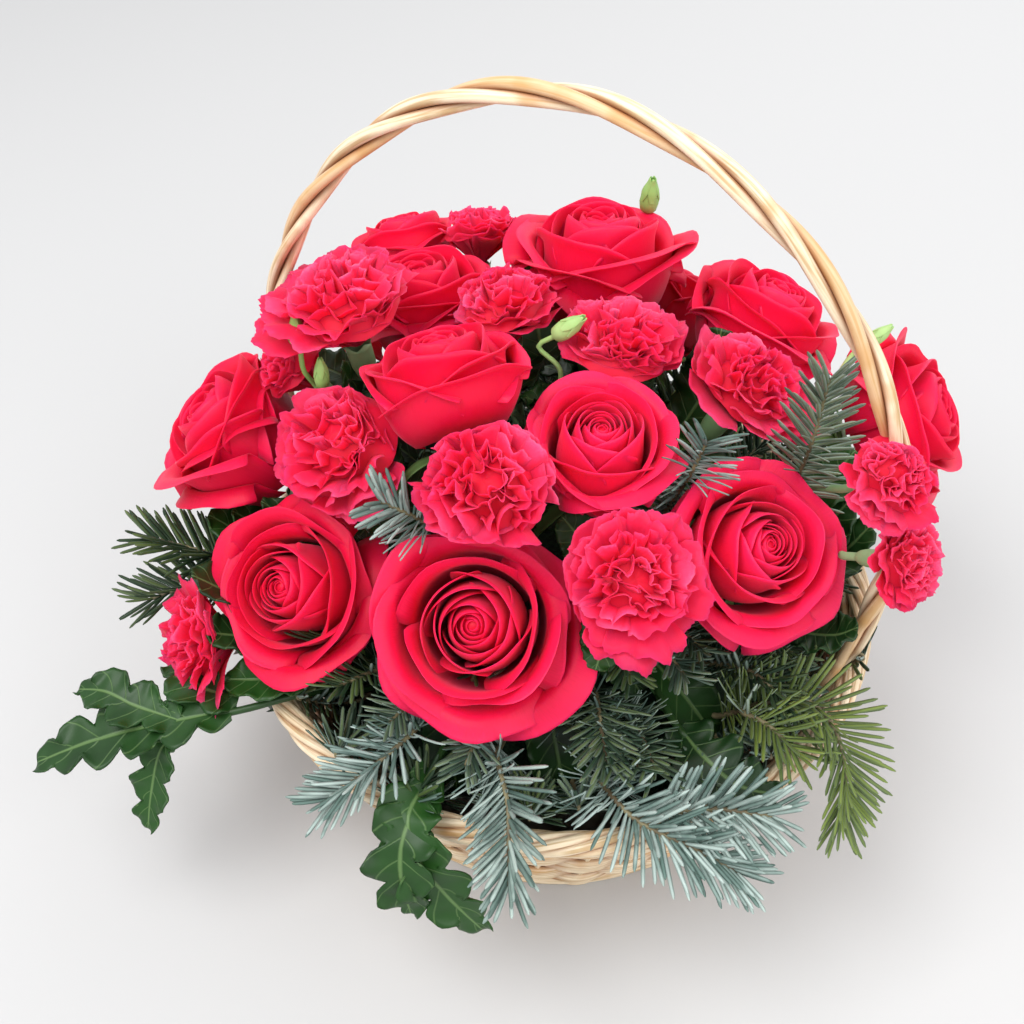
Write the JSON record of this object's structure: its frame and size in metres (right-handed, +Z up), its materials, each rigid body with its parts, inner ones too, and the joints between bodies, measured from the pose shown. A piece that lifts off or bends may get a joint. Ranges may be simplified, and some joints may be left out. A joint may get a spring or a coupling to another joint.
{
  "type": "flower basket arrangement",
  "caption": "Round woven willow basket with a twisted-rod handle, filled with red roses, red spray carnations, fir sprigs and lobed leaves standing in floral foam.",
  "frame": {"origin": "middle of the basket's flat underside, on the surface that it stands on", "axes": "+Z up, +X along the span of the handle, -Y toward the front of the arrangement"},
  "size_m": [0.3244, 0.3412, 0.32],
  "materials": {
    "willow": "peeled willow, satin",
    "liner": "thin dark plastic film",
    "foam": "wet floral foam",
    "rose_petals": "velvety crimson petals",
    "rose_green": "green stems, hips and sepals",
    "carnation_petals": "matte coral-red petals",
    "carnation_green": "grey-green stems and calyces",
    "fir_needles": "waxy blue-green needles, silver below",
    "leaf": "glossy dark green leaf with pale veins"
  },
  "bodies": {
    "root": {"basket_weave": "willow", "basket_rim": "willow", "handle_rod_1": "willow", "handle_rod_2": "willow", "handle_rod_3": "willow", "liner": "liner", "floral_foam": "foam", "rose_1": "rose_petals", "rose_2": "rose_petals", "rose_3": "rose_petals", "rose_4": "rose_petals", "rose_5": "rose_petals", "rose_6": "rose_petals", "rose_7": "rose_petals", "rose_8": "rose_petals", "rose_9": "rose_petals", "rose_10": "rose_petals", "rose_11": "rose_petals", "rose_12": "rose_petals", "rose_stem_1": "rose_green", "rose_stem_2": "rose_green", "rose_stem_3": "rose_green", "rose_stem_4": "rose_green", "rose_stem_5": "rose_green", "rose_stem_6": "rose_green", "rose_stem_7": "rose_green", "rose_stem_8": "rose_green", "rose_stem_9": "rose_green", "rose_stem_10": "rose_green", "rose_stem_11": "rose_green", "rose_stem_12": "rose_green", "carnation_1": "carnation_petals", "carnation_2": "carnation_petals", "carnation_3": "carnation_petals", "carnation_4": "carnation_petals", "carnation_5": "carnation_petals", "carnation_6": "carnation_petals", "carnation_7": "carnation_petals", "carnation_8": "carnation_petals", "carnation_9": "carnation_petals", "carnation_10": "carnation_petals", "carnation_11": "carnation_petals", "carnation_12": "carnation_petals", "carnation_stem_1": "carnation_green", "carnation_stem_2": "carnation_green", "carnation_stem_3": "carnation_green", "carnation_stem_4": "carnation_green", "fir_1": "fir_needles", "fir_2": "fir_needles", "fir_3": "fir_needles", "fir_4": "fir_needles", "fir_5": "fir_needles", "fir_6": "fir_needles", "fir_7": "fir_needles", "fir_8": "fir_needles", "fir_9": "fir_needles", "fir_10": "fir_needles", "leaf_left": "leaf", "leaf_front": "leaf", "leaf_inner": "leaf"}
  },
  "joints": []
}
